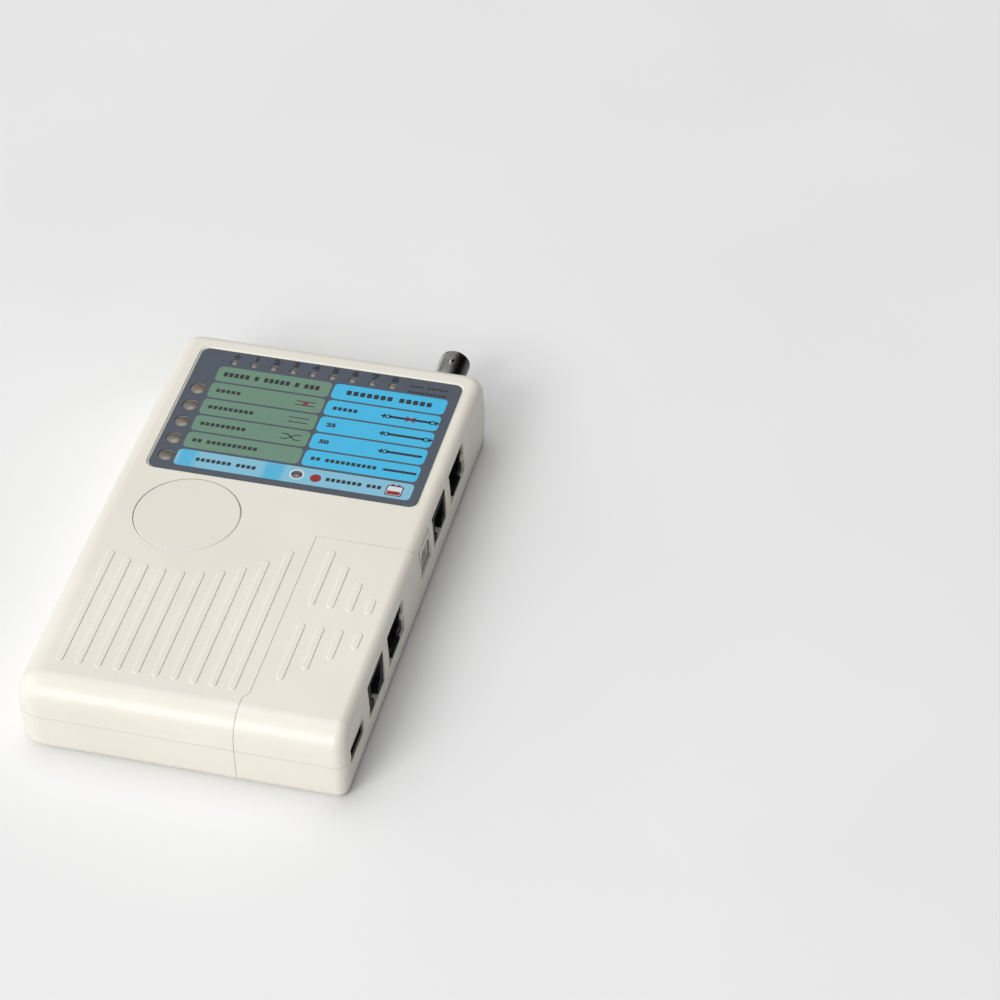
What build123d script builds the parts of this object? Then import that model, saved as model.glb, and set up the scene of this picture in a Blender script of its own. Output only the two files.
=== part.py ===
"""Hand-held network cable tester with a slide-off remote unit.

Millimetres. Origin at the centre of the resting (back) face. +X points to the socket side,
+Y to the coaxial connector, +Z up through the labelled face.
"""
import os
from math import cos, pi, radians, sin, sqrt, tan

from build123d import *

# ---------------------------------------------------------------- case
case_w = 97.5
case_l = 162.0
case_h = 24.0
part_z = 12.9
wall = 2.0
top_draft = 3.0
bottom_draft = 1.9
back_corner_r = 6.4
edge_r = 3.6
left_edge_r = 4.8
left_edge_full_y = -10.0
front_edge_r = 7.9
foot_r = 3.2
inner_edge_r = 1.6
cavity_play = 0.2
reveal_h = 0.15
reveal_depth = 0.3

# ---------------------------------------------------------------- cutting and joining
past = 5.0
far = 70.0
root = 0.3
skin_low = 15.0
skin_high = 30.0

# ---------------------------------------------------------------- dock for the remote unit
seam_x = 18.0
seam_y = -2.3
lip_x = 16.5
lip_y_low = -70.8
lip_y_high = -68.4
seam_gap = 0.14
dock_wall = 2.6
dock_end_wall = 1.1
remote_wall = 1.8
rail_y = (-66.0, -8.0)
rail_depth = 1.4
rail_root = (10.3, 15.3)
rail_tip = (9.5, 16.1)
rail_play = 0.3
rail_bite = 0.5
rail_run_out = 30.0

# ---------------------------------------------------------------- ribs on the label face
rib_w = 2.0
rib_h = 0.25
rib_roundness = 0.95
rib_pitch = 5.62
rib_first_x = -37.9
rib_count = 10
rib_low_y = -68.5
rib_arc_x = -20.0
rib_arc_low_y = -25.8
rib_arc_r = 42.0
remote_rib_first_x = 24.5
remote_rib_count = 4
remote_rib_upper_low = -30.8
remote_rib_upper_high = (-7.3, -13.0, -19.0, -24.6)
remote_rib_lower_high = -38.7
remote_rib_lower_low = (-61.8, -56.3, -50.8, -45.2)

# ---------------------------------------------------------------- label and lamps
label_x = (-40.4, 42.8)
label_y = (16.6, 73.6)
label_corner_r = 2.6
label_t = 0.25
label_recess = 0.45
label_play = 0.25
label_bevel = 0.5
pin_lamp_y = 68.6
pin_lamp_first_x = -28.8
pin_lamp_pitch = 6.3
pin_lamp_count = 9
status_lamp_x = -36.2
status_lamp_y = (54.3, 46.3, 38.4, 30.5, 22.5)
battery_lamp_at = (4.6, 22.7)
pin_lamp_r = 1.25
battery_lamp_r = 1.5
large_lamp_r = 2.35
lamp_play = 0.15
lamp_rim = 0.45
lamp_edge_z = 23.5
lamp_dome = 0.45
lamp_flange_z = (19.4, 20.4)
lamp_leg_r = 0.25
lamp_leg_offset = 0.635

# ---------------------------------------------------------------- test button
button_x = -21.7
button_y = -1.9
button_r = 15.78
button_hole_r = 16.0
button_flange_r = 17.4
button_flange_z = (20.5, 21.6)
button_skirt_t = 2.0
button_roof_t = 2.4
button_edge_r = 0.35
button_stem_r = 4.0
button_stem_z = 17.2
switch_side = 10.0
switch_h = 5.0
plunger_r = 1.9
plunger_play = 0.3
plunger_depth = 1.5
plunger_room = 1.6
spring_r = 9.6
spring_wire_r = 0.45
spring_turns = 4

# ---------------------------------------------------------------- boards
board_t = 1.6
main_board_top = 10.4
main_board_x = (-45.0, 45.6)
main_board_y = (0.6, 77.0)
main_board_arm = (13.6, -26.0)
remote_board_top = 8.7
remote_board_x = (20.6, 45.6)
remote_board_y = (-77.6, -5.0)
board_notch = 4.2
coax_notch = (7.2, 68.0)
pillar_r = 2.6
chip_w = 6.6
chip_h = 3.4
chip_lift = 0.6
chip_mark_r = 0.9
lead_pitch = 2.54
leg_half = 0.3
leg_top = 2.2
controller_at = (-4.0, 46.0)
controller_l = 23.0
driver_at = (-6.0, 30.0)
driver_l = 20.5
main_resistor_row = (14.0, 26.0, 4.0, 8)
remote_resistor_row = (25.0, -65.0, 4.6, 9)
resistor_r = 1.0
resistor_l = 5.6
resistor_end_r = 0.35
resistor_wire_r = 0.28
resistor_span = 4.1

# ---------------------------------------------------------------- sockets: y low, y high, z low, z high
rj45_main = (34.0, 50.4, 10.7, 21.7)
rj11_main = (14.4, 28.8, 10.7, 21.7)
usb_b_main = (-0.5, 10.9, 10.9, 21.7)
rj45_remote = (-35.8, -19.3, 9.1, 20.9)
rj11_remote = (-56.4, -40.7, 9.0, 20.9)
usb_a_remote = (-75.6, -62.3, 9.2, 16.4)
opening_x = 43.0
socket_play = 0.15
socket_depth = 18.0
rj45_recess_x = 47.7
rj11_front_x = 48.35
usb_front_x = 48.5
usb_b_slot_w = 8.45
usb_b_slot_h = 7.78
usb_a_slot_w = 12.5
usb_a_slot_h = 5.12
usb_a_centre = (-68.95, 12.6)
usb_t = 0.35
usb_a_t = 0.3
usb_b_depth = 16.0
usb_a_depth = 14.0
usb_b_bevel = 1.9
usb_b_tongue = (5.6, 3.2)
usb_b_tongue_x = (13.0, 2.4)
usb_foot_w = 2.0
usb_a_back = (13.6, 11.0)
usb_a_tongue_z = (0.8, 2.1)
usb_a_tongue_play = 0.6
usb_a_tongue_set_back = 0.6
usb_a_lip = 0.45
usb_a_lip_t = 0.3
usb_a_lip_r = 1.05
usb_a_corner_r = 0.7
usb_a_opening_r = 1.1
usb_a_foot = (3.0, 8.0)
usb_a_pins = (-3.5, -1.0, 1.0, 3.5)
usb_a_pin_w = 1.0
usb_a_pin_reach = (10.5, 2.0)
usb_b_back_t = 3.5
usb_b_pins = (-1.3, 1.3)
usb_b_pin_w = 1.2
usb_b_pin_reach = (11.0, 3.2)
usb_pin_t = 0.15
lug_x = (46.9, 48.3)
lug_reach = 1.4
lug_h = 2.0
rj45_slot_w = 11.8
rj11_slot_w = 9.8
rj_slot_h = 6.8
rj_slot_depth = 13.0
rj_roof = 1.3
rj_lip = 0.7
rj_lip_h = 1.2
rj_lip_side = 0.9
rj_latch_step = 3.0
rj_finger_depth = 2.2
rj_latch_w = 6.2
rj_latch_h = 1.5
rj_finger_w = 4.0
contact_pitch = 1.02
contact_w = 0.4
contact_drop = 1.9
contact_front = 2.0
contact_back = 10.4

# ---------------------------------------------------------------- coaxial connector
bnc_x = 33.8
bnc_z = 12.9
bnc_r = 4.825
bnc_end_y = 97.0
bnc_bore_r = 4.1
bnc_bore_floor_y = 86.0
bnc_lug_r = 1.0
bnc_lug_reach = 5.5
bnc_lug_y = 92.4
bnc_flange_r = 6.6
bnc_ring_r = 5.6
bnc_insulator_r = 2.45
bnc_contact_r = 1.08
bnc_contact_bore_r = 0.69
bnc_contact_bore_l = 5.5
bnc_wall_in = 78.75
bnc_flange_t = 2.0
bnc_rear_l = 8.0
bnc_nose_bevel = 0.35
bnc_ring_t = 1.4
bnc_ring_slots = 6
bnc_slot_half = 0.7
bnc_insulator_y = (71.5, 93.0)
bnc_contact_y = (70.0, 92.7)
bnc_lead_y = 65.0
bnc_lead_r = 0.4
bnc_lead_bend_r = 1.1
snug = 0.02

# ---------------------------------------------------------------- battery, its bay and its door
bay_x = (-44.0, 12.0)
bay_y = (-63.2, -34.3)
bay_wall = 1.4
bay_wall_top = 11.0
door_gap = 0.35
door_z = (0.25, 1.9)
door_corner_r = 1.2
door_grip_count = 5
door_grip_pitch = 1.8
door_grip_w = 0.8
door_grip_half = 9.0
door_grip_depth = 0.4
door_arm_top = 6.5
door_arm_t = 0.9
door_arm_y = (-52.5, -45.0)
lead_z = 14.6
lead_land_y = -23.0
battery_x = (-42.4, 4.0)
battery_y = (-62.0, -35.5)
battery_z = (2.3, 19.8)
battery_edge_r = 1.6
terminal_l = 2.1
terminal_half_pitch = 6.35
stud_r = 2.8
cup_r = 4.0
cup_bore_r = 2.9
snap_t = 4.0
snap_half = (12.2, 6.2)
snap_corner_r = 3.0
battery_lead_r = 0.7
battery_lead_half_pitch = 1.1
battery_lead_bend_r = 2.0
foam_x = (-36.0, -2.0)
foam_y = (-57.0, -40.5)

# ---------------------------------------------------------------- fasteners: (x, y)
case_screw_at = ((-41.0, 73.0), (43.0, 73.0), (-40.0, -73.5), (9.5, -73.5))
remote_screw_at = ((23.2, -74.5), (24.2, -8.3), (43.0, -9.3))
board_screw_at = ((-30.0, 62.0), (24.0, 60.0), (-41.5, 4.0), (10.0, -18.0))
boss_r = 3.3
boss_split_z = 6.5
screw_r = 1.25
screw_hole_r = 1.6
screw_head_r = 2.6
board_screw_r = 1.0
screw_head_z = (1.2, 3.0)
screw_tip_z = 16.0
screw_head_edge_r = 0.6
screw_slot = (1.5, 0.3)
screw_slot_depth = 0.9
thread_play = 0.05
screw_clearance = 0.3
counterbore_r = 2.9
counterbore_z = 3.0
seat_z = 0.6
seat_grow = 0.4
board_screw_head_r = 2.1
board_screw_head_h = 1.4
board_screw_head_edge_r = 0.4
board_screw_z = (3.5, 4.0)
board_screw_slot = (1.2, 0.25)
board_screw_slot_depth = 0.7


def block(x0, x1, y0, y1, z0, z1):
    """Plain rectangular block between two corners."""
    return Pos((x0 + x1) / 2, (y0 + y1) / 2, (z0 + z1) / 2) * Box(x1 - x0, y1 - y0, z1 - z0)


def post(x, y, z0, z1, r):
    """Upright cylinder."""
    return Pos(x, y, (z0 + z1) / 2) * Cylinder(r, z1 - z0)


def rod_y(x, z, y0, y1, r):
    """Cylinder lying along Y."""
    return Pos(x, (y0 + y1) / 2, z) * Rot(90, 0, 0) * Cylinder(r, y1 - y0)


def union(parts):
    """One shape from a list of shapes."""
    parts = list(parts)
    result = parts[0]
    for part in parts[1:]:
        result = result + part
    return result


def slab(z0, z1):
    """Everything between two heights."""
    return block(-case_w, case_w, -case_l, case_l, z0, z1)


# ================================================================ case outline
def roll_inset(radius):
    """How far a rounded top edge's axis lies inside the case's outline at the parting height."""
    return (case_h - radius - part_z) * tan(radians(top_draft)) + radius / cos(radians(top_draft))


def roll_waste(radius):
    """Section outside a rounded top edge, drawn outward from its axis and upward from the back."""
    lean = radians(top_draft)
    side = (radius * cos(lean), case_h - radius + radius * sin(lean))
    middle = (radius * cos(pi / 4), case_h - radius + radius * sin(pi / 4))
    top = (0, case_h)
    high, out = case_h + past, radius + past
    outside = Polyline(top, (0, high), (out, high), (out, side[1]), side)
    return make_face(ThreePointArc(side, middle, top) + outside)


def plan(inset):
    """Outline of the case at the parting height, moved inward by inset."""
    outline = Rectangle(case_w - 2 * inset, case_l - 2 * inset)
    back = [v for v in outline.vertices() if v.Y > 0]
    outline = fillet(back, back_corner_r - inset)
    left = [v for v in outline.vertices() if v.Y < inset + 1 - case_l / 2 and v.X < 0]
    outline = fillet(left, roll_inset(front_edge_r) - inset)
    right = [v for v in outline.vertices() if v.Y < inset + 1 - case_l / 2 and v.X > case_w / 2 - inset - 1]
    return fillet(right, edge_r - inset)


def left_edge_waste():
    """Waste outside the left edge, whose rounding eases from the front roll's radius to its own."""
    def place(radius, y):
        return Plane(origin=(roll_inset(radius) - case_w / 2, y, 0), x_dir=(-1, 0, 0), z_dir=(0, 1, 0))
    front_y = roll_inset(front_edge_r) - case_l / 2
    own = place(left_edge_r, left_edge_full_y) * roll_waste(left_edge_r)
    ease = loft([place(front_edge_r, front_y) * roll_waste(front_edge_r), own])
    return ease + extrude(own, amount=case_l)


def front_corner_waste():
    """Waste outside the ball-shaped front left corner."""
    x, y = roll_inset(front_edge_r) - case_w / 2, roll_inset(front_edge_r) - case_l / 2
    ring = revolve(Plane.XZ * roll_waste(front_edge_r), Axis.Z)
    return Pos(x, y, 0) * (ring & block(-far, 0, -far, 0, 0, 2 * case_h))


def inner_edge_waste(radius, half):
    """Waste outside a rounded inner edge of the cavity, as a bar along X at y = -half."""
    centre_z = case_h - wall - radius
    corner = block(-case_l, case_l, -half - past, wall + radius - half, centre_z, case_h)
    return corner - Pos(0, wall + radius - half, centre_z) * Rot(0, 90, 0) * Cylinder(radius, 3 * case_l)


def drafted(outline):
    """Outline pulled up from the parting height with the sides' draft."""
    return extrude(Pos(0, 0, part_z) * outline, amount=case_h - part_z, taper=top_draft)


def is_front_corner(edge):
    """Whether an edge climbs one of the two front corners."""
    box = edge.bounding_box()
    return edge.center().Y < -case_l / 2 + front_edge_r and box.max.Z - box.min.Z > 1


def upper_block():
    """Solid upper half: a large front roll whose ends wrap smoothly into the sides."""
    outline = Rectangle(case_w, case_l)
    outline = fillet([v for v in outline.vertices() if v.Y > 0], back_corner_r)
    body = drafted(outline)
    body = fillet(body.edges().group_by(Axis.Z)[-1].sort_by(Axis.Y)[0], front_edge_r)
    rim = body.edges().group_by(Axis.Z)[-1].sort_by(Axis.Y)[1:]
    body = fillet(rim + body.edges().filter_by(is_front_corner), edge_r)
    corner = Rectangle(case_w, case_l)
    corner = fillet([v for v in corner.vertices() if v.X < 0 and v.Y < 0], roll_inset(front_edge_r))
    return (body & drafted(corner)) - left_edge_waste() - front_corner_waste()


def lower_block():
    """Solid lower half with a rounded foot."""
    body = extrude(Pos(0, 0, part_z) * plan(0), amount=part_z, dir=(0, 0, -1), taper=bottom_draft)
    return fillet(body.edges().group_by(Axis.Z)[0], foot_r)


def cavity_block():
    """Room inside the case, one wall thickness in from every face."""
    inset = wall + cavity_play
    room = extrude(Pos(0, 0, wall) * plan(inset), amount=case_h - 2 * wall)
    room = fillet(room.edges().group_by(Axis.Z)[-1], inner_edge_r)
    front = inner_edge_waste(front_edge_r - wall, case_l / 2 - root)
    left = Rot(0, 0, -90) * inner_edge_waste(front_edge_r - wall, case_w / 2 - root)
    return room - front - left


def dock_prism(side, end):
    """Column over the remote unit's place, grown by side towards -X and by end towards +Y."""
    x_seam = seam_x - side
    x_lip = lip_x - side
    outline = Polyline(
        (x_seam, seam_y + end),
        (far, seam_y + end),
        (far, -2 * far),
        (x_lip, -2 * far),
        (x_lip, lip_y_low + side / 2),
        (x_seam, lip_y_high + side / 2),
        close=True,
    )
    return Pos(0, 0, -past) * extrude(make_face(outline), amount=case_h + 2 * past)


def rail(play):
    """Dovetail rail on the remote unit's side, or its groove when play is added."""
    x_root = seam_x + seam_gap / 2
    x_tip = x_root - rail_depth - play / 2
    y0 = rail_y[0] - play * rail_run_out
    y1 = rail_y[1] + play
    section = Polyline(
        (x_root + rail_bite, rail_root[0] - play),
        (x_root, rail_root[0] - play),
        (x_tip, rail_tip[0] - play),
        (x_tip, rail_tip[1] + play),
        (x_root, rail_root[1] + play),
        (x_root + rail_bite, rail_root[1] + play),
        close=True,
    )
    return Pos(0, y1, 0) * extrude(Plane.XZ * make_face(section), amount=y1 - y0)


def reveal():
    """Fine groove run round the case at the parting line."""
    ring = plan(-1) - plan(reveal_depth)
    return extrude(Pos(0, 0, part_z) * ring, amount=reveal_h)


def opening(socket):
    """Cut through the socket side for one socket."""
    y0, y1, z0, z1 = socket
    return block(opening_x, case_w, y0, y1, z0, z1)


def rib(x, y0, y1):
    """Raised rounded rib on the label face."""
    outline = Pos(x, (y0 + y1) / 2, case_h - root) * Rot(0, 0, 90) * SlotOverall(y1 - y0, rib_w)
    bar = extrude(outline, amount=rib_h + root)
    return fillet(bar.edges().group_by(Axis.Z)[-1], rib_h * rib_roundness)


def rib_high_y(x):
    """Far end of a main rib, on the shallow arc that runs under the button."""
    return rib_arc_low_y + rib_arc_r - sqrt(rib_arc_r ** 2 - (x - rib_arc_x) ** 2)


def main_ribs():
    """The parallel ribs on the main unit."""
    places = [rib_first_x + i * rib_pitch for i in range(rib_count)]
    return union(rib(x, rib_low_y, rib_high_y(x)) for x in places)


def remote_ribs():
    """Two groups of four ribs on the remote unit, each group cut off on a slant."""
    bars = []
    for i in range(remote_rib_count):
        x = remote_rib_first_x + i * rib_pitch
        bars.append(rib(x, remote_rib_upper_low, remote_rib_upper_high[i]))
        bars.append(rib(x, remote_rib_lower_low[i], remote_rib_lower_high))
    return union(bars)


def screw_tower(x, y):
    """Upper boss that a case screw threads into."""
    tower = post(x, y, boss_split_z, case_h - wall + root, boss_r)
    return tower - post(x, y, 0, screw_tip_z + 1, screw_r + thread_play)


def screw_seat(x, y):
    """Lower boss round a case screw's head."""
    return post(x, y, seat_z, boss_split_z, boss_r + seat_grow)


def screw_seat_hole(x, y):
    """Counterbore and through hole of a lower boss."""
    return post(x, y, -past, counterbore_z, counterbore_r) + post(x, y, 0, boss_split_z + 1, screw_hole_r)


# ================================================================ main case halves
def lamp_places():
    """Every lamp as (x, y, radius), pins first, then status, then battery."""
    pins = [(pin_lamp_first_x + i * pin_lamp_pitch, pin_lamp_y, pin_lamp_r) for i in range(pin_lamp_count)]
    states = [(status_lamp_x, y, large_lamp_r) for y in status_lamp_y]
    return pins, states, [(*battery_lamp_at, battery_lamp_r)]


def lamp_holes():
    """Clearance holes for all the lamps."""
    pins, states, battery = lamp_places()
    return union(post(x, y, skin_low, skin_high, r + lamp_play) for x, y, r in pins + states + battery)


def label_plate(grow, z):
    """Flat outline of the label at height z, grown by grow on each side."""
    w = label_x[1] - label_x[0] + 2 * grow
    h = label_y[1] - label_y[0] + 2 * grow
    return Pos(sum(label_x) / 2, sum(label_y) / 2, z) * RectangleRounded(w, h, label_corner_r + grow)


def label_pocket():
    """Recess that the label lies in, with a bevelled rim."""
    pocket = extrude(label_plate(label_play, case_h - label_recess), amount=past)
    rim = label_plate(label_play + label_bevel, case_h)
    return pocket + extrude(rim, amount=-label_bevel, taper=45)


def bnc_hole():
    """Hole through the far wall for the coaxial connector."""
    return rod_y(bnc_x, bnc_z, bnc_wall_in - past, case_l / 2 + past, bnc_r + root)


def locating_lug(socket):
    """Small lug on the far side of an eight-way socket's opening."""
    y1 = socket[1]
    middle = (socket[2] + socket[3]) / 2
    return block(*lug_x, y1 - lug_reach, y1 + root, middle - lug_h / 2, middle + lug_h / 2)


def top_cover(upper, room):
    """Main unit's upper shell with ribs, label pocket, button hole and screw towers."""
    inner = room - dock_prism(seam_gap / 2 + dock_wall, seam_gap / 2 + dock_end_wall)
    towers = union(screw_tower(x, y) for x, y in case_screw_at) & (upper + slab(0, part_z))
    shell = upper - inner + towers + main_ribs()
    shell = shell - dock_prism(seam_gap / 2, seam_gap / 2) - rail(rail_play)
    shell = shell - label_pocket() - lamp_holes() - reveal() - bnc_hole()
    shell = shell - post(button_x, button_y, skin_low, skin_high, button_hole_r)
    for socket in (rj45_main, rj11_main, usb_b_main):
        shell = shell - opening(socket)
    return shell + locating_lug(rj45_main)


def bay_frame():
    """Low wall round the battery bay, standing on the floor of the lower shell."""
    x0, x1 = bay_x
    y0, y1 = bay_y
    outer = block(x0 - bay_wall, x1 + bay_wall, y0 - bay_wall, y1 + bay_wall, wall - root, bay_wall_top)
    return outer - block(x0, x1, y0, y1, 0, case_h)


def bottom_case(lower, room):
    """Main unit's lower shell with the battery bay, board posts and screw seats."""
    inner = room - dock_prism(seam_gap / 2 + dock_wall, seam_gap / 2 + dock_end_wall)
    seats = union(screw_seat(x, y) for x, y in case_screw_at)
    pillars = union(post(x, y, wall - root, main_board_top - board_t, pillar_r) for x, y in board_screw_at)
    shell = lower - inner + (seats & lower) + pillars + bay_frame()
    shell = shell - block(*bay_x, *bay_y, -past, bay_wall_top + past)
    shell = shell - dock_prism(seam_gap / 2, seam_gap / 2) - rail(rail_play) - bnc_hole()
    shell = shell - union(screw_seat_hole(x, y) for x, y in case_screw_at)
    pilot_r = board_screw_r + thread_play
    shell = shell - union(post(x, y, board_screw_z[0], case_h, pilot_r) for x, y in board_screw_at)
    for socket in (rj45_main, rj11_main, usb_b_main):
        shell = shell - opening(socket)
    return shell


def battery_door():
    """Flush panel over the battery bay with two grip arms and a row of finger grooves."""
    x0, x1 = bay_x[0] + door_gap, bay_x[1] - door_gap
    y0, y1 = bay_y[0] + door_gap, bay_y[1] - door_gap
    panel = block(x0, x1, y0, y1, *door_z)
    panel = fillet(panel.edges().filter_by(Axis.Z), door_corner_r)
    middle = (x0 + x1) / 2
    half = door_grip_half
    groove = block(middle - half, middle + half, 0, door_grip_w, 0, door_z[0] + door_grip_depth)
    panel = panel - union(Pos(0, y1 - door_grip_pitch * (k + 2), 0) * groove for k in range(door_grip_count))
    arm = block(0, door_arm_t, *door_arm_y, door_z[1] - root, door_arm_top)
    return panel + Pos(x0, 0, 0) * arm + Pos(x1 - door_arm_t, 0, 0) * arm


# ================================================================ label, lamps, button
def label_overlay():
    """Thin printed sheet in the label pocket, punched for the lamps."""
    return extrude(label_plate(0, case_h - label_recess), amount=label_t) - lamp_holes()


def lamp(x, y, r):
    """Low-domed lamp with a flange, on two legs that stand on the board."""
    low, high = lamp_flange_z
    body = post(x, y, high, lamp_edge_z, r) + post(x, y, low, high, r + lamp_rim)
    ball_r = (r ** 2 + lamp_dome ** 2) / (2 * lamp_dome)
    ball = Pos(x, y, lamp_edge_z + lamp_dome - ball_r) * Sphere(ball_r)
    dome = ball & post(x, y, lamp_edge_z, lamp_edge_z + lamp_dome, r)
    legs = [post(x + side * lamp_leg_offset, y, main_board_top, low, lamp_leg_r) for side in (-1, 1)]
    return body + dome + union(legs)


def button_cap():
    """Large round push button with a skirt, a retaining flange and a centre stem."""
    x, y = button_x, button_y
    disc = post(x, y, button_flange_z[0], case_h, button_r)
    disc = fillet(disc.edges().group_by(Axis.Z)[-1], button_edge_r)
    flange = post(x, y, *button_flange_z, button_flange_r)
    hollow = post(x, y, 0, case_h - button_roof_t, button_r - button_skirt_t)
    stem = post(x, y, button_stem_z, case_h - button_roof_t + root, button_stem_r)
    return disc + flange - hollow + stem


def button_spring():
    """Return spring between the board and the underside of the button."""
    height = case_h - button_roof_t - main_board_top - 2 * spring_wire_r
    path = Helix(pitch=height / spring_turns, height=height, radius=spring_r)
    wire = Plane(path @ 0, z_dir=path % 0) * Circle(spring_wire_r)
    return Pos(button_x, button_y, main_board_top + spring_wire_r) * sweep(wire, path=path, is_frenet=True)


def switch_body():
    """Square push switch on the board, bored for its plunger."""
    side = switch_side / 2
    x, y = button_x, button_y
    body = block(x - side, x + side, y - side, y + side, main_board_top, main_board_top + switch_h)
    top = main_board_top + switch_h
    return body - post(x, y, top - plunger_depth - plunger_room, top + 1, plunger_r + plunger_play)


def switch_plunger():
    """Plunger that the button's stem presses."""
    return post(button_x, button_y, main_board_top + switch_h - plunger_depth, button_stem_z, plunger_r)


# ================================================================ boards
def corner_notch(x, y, middle_x, middle_y):
    """Square notch in a board from a screw tower out to the nearest corner."""
    x0, x1 = (x - board_notch, x + far) if x > middle_x else (x - far, x + board_notch)
    y0, y1 = (y - board_notch, y + far) if y > middle_y else (y - far, y + board_notch)
    return block(x0, x1, y0, y1, 0, case_h)


def main_board():
    """L-shaped circuit board of the main unit."""
    z0 = main_board_top - board_t
    x0, x1 = main_board_x
    y0, y1 = main_board_y
    arm_x, arm_y = main_board_arm
    board = block(x0, x1, y0, y1, z0, main_board_top) + block(x0, arm_x, arm_y, y0 + root, z0, main_board_top)
    board = board - union(corner_notch(x, y, 0, 0) for x, y in case_screw_at if y > 0)
    board = board - union(post(x, y, 0, case_h, board_screw_r + screw_clearance) for x, y in board_screw_at)
    half_w, notch_y = coax_notch
    return board - block(bnc_x - half_w, far, notch_y, case_l, 0, case_h)


def remote_board():
    """Circuit board of the remote unit."""
    board = block(*remote_board_x, *remote_board_y, remote_board_top - board_t, remote_board_top)
    middle_x, middle_y = sum(remote_board_x) / 2, sum(remote_board_y) / 2
    return board - union(corner_notch(x, y, middle_x, middle_y) for x, y in remote_screw_at)


def chip(x, y, z, length):
    """Dual in-line chip with its two rows of legs."""
    low, high = z + chip_lift, z + chip_lift + chip_h
    body = block(x - length / 2, x + length / 2, y - chip_w / 2, y + chip_w / 2, low, high)
    body = body - post(x - length / 2, y, high - chip_lift, high + 1, chip_mark_r)
    leg = block(-leg_half, leg_half, -leg_half, leg_half, z, z + leg_top)
    count = int(length // lead_pitch)
    columns = [x + (i - (count - 1) / 2) * lead_pitch for i in range(count)]
    rows = [y + side * (chip_w / 2 + leg_half) for side in (-1, 1)]
    return Compound([body] + [Pos(leg_x, leg_y, 0) * leg for leg_x in columns for leg_y in rows])


def rod_x(x, y, z, length, r):
    """Cylinder lying along X about its middle."""
    return Pos(x, y, z) * Rot(0, 90, 0) * Cylinder(r, length)


def resistor(x, y, z):
    """Axial resistor lying along X, standing on its two bent legs."""
    axis_z = z + resistor_r + cavity_play
    body = rod_x(x, y, axis_z, resistor_l, resistor_r)
    body = fillet(body.edges(), resistor_end_r)
    wire = rod_x(x, y, axis_z, 2 * resistor_span, resistor_wire_r)
    feet = [post(x + side * resistor_span, y, z, axis_z, resistor_wire_r) for side in (-1, 1)]
    return body + wire + union(feet)


def resistor_row(row, z):
    """Evenly spaced resistors; row holds their x, first y, pitch and count."""
    x, first_y, pitch, count = row
    return Compound([resistor(x, first_y + pitch * i, z) for i in range(count)])


# ================================================================ sockets
def socket_place(socket, board_top):
    """Room for a socket in its opening: y low, y high, z low, z high, middle y."""
    y0, y1, z0, z1 = socket
    return y0 + socket_play, y1 - socket_play, max(z0, board_top) + snug, z1 - socket_play, (y0 + y1) / 2


def rj_body(socket, front_x, slot_w, board_top, recessed):
    """Modular socket: stepped slot with the latch side down, and a lip or an open finger slot in front."""
    y0, y1, z0, z1, y = socket_place(socket, board_top)
    slot_z = z1 - rj_roof - rj_slot_h
    back = front_x - rj_slot_depth
    body = block(front_x - socket_depth, front_x, y0, y1, z0, z1)
    if recessed:
        half = rj_latch_w / 2 + rj_lip_side
        body = body + block(front_x - 1, front_x + rj_lip, y - half, y + half, z0, z0 + rj_lip_h)
        box = locating_lug(socket).bounding_box()
        lug_y, lug_z0, lug_z1 = box.min.Y - socket_play, box.min.Z - socket_play, box.max.Z + socket_play
        body = body - block(box.min.X - root, far, lug_y, far, lug_z0, lug_z1)
    else:
        half = rj_finger_w / 2
        body = body - block(front_x - rj_finger_depth, far, y - half, y + half, 0, slot_z)
    slot = block(back, far, y - slot_w / 2, y + slot_w / 2, slot_z, slot_z + rj_slot_h)
    half = rj_latch_w / 2
    latch = block(back + rj_latch_step, far, y - half, y + half, slot_z - rj_latch_h, slot_z + root)
    return body - slot - latch


def rj_contacts(socket, front_x, ways):
    """Row of sprung contact wires that slope down from the roof of the slot towards the back."""
    y = (socket[0] + socket[1]) / 2
    z_roof = socket[3] - socket_play - rj_roof
    x0, x1 = front_x - contact_back, front_x - contact_front
    outline = Polyline(
        (x1, z_roof),
        (x1 - contact_w, z_roof),
        (x0, z_roof - contact_drop),
        (x0, z_roof - contact_drop - contact_w),
        (x1, z_roof - contact_w),
        close=True,
    )
    wire = extrude(Plane.XZ * make_face(outline), amount=contact_w)
    offsets = [(i - (ways - 1) / 2) * contact_pitch for i in range(ways)]
    return Compound([Pos(0, y + offset + contact_w / 2, 0) * wire for offset in offsets])


def usb_b_mouth(grow):
    """Type B opening with its two bevelled upper corners."""
    w, h = usb_b_slot_w / 2 + grow, usb_b_slot_h / 2 + grow
    c = usb_b_bevel
    corners = (-w, -h), (w, -h), (w, h - c), (w - c, h), (-w + c, h), (-w, h - c)
    return make_face(Polyline(*corners, close=True))


def usb_b_middle():
    """Height of the type B socket's axis."""
    return (usb_b_main[2] + usb_b_main[3] - socket_play) / 2


def usb_b_shell():
    """Square metal shell of the type B socket, on four feet."""
    y0, y1, z0, z1, y = socket_place(usb_b_main, main_board_top)
    z0 = z0 + socket_play
    x0, x1 = usb_front_x - usb_b_depth, usb_front_x
    shell = block(x0, x1, y0, y1, z0, z1)
    shell = shell - block(x0 + usb_t, x1 - usb_t, y0 + usb_t, y1 - usb_t, z0 + usb_t, z1 - usb_t)
    mouth = Plane.YZ.offset(x1 - usb_t - root) * Pos(y, usb_b_middle()) * usb_b_mouth(socket_play)
    feet = [
        block(x, x + usb_foot_w, foot_y, foot_y + usb_t, main_board_top, z0 + root)
        for x in (x0 + usb_foot_w, x1 - usb_b_depth / 2)
        for foot_y in (y0, y1 - usb_t)
    ]
    return shell - extrude(mouth, amount=past) + union(feet)


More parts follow.
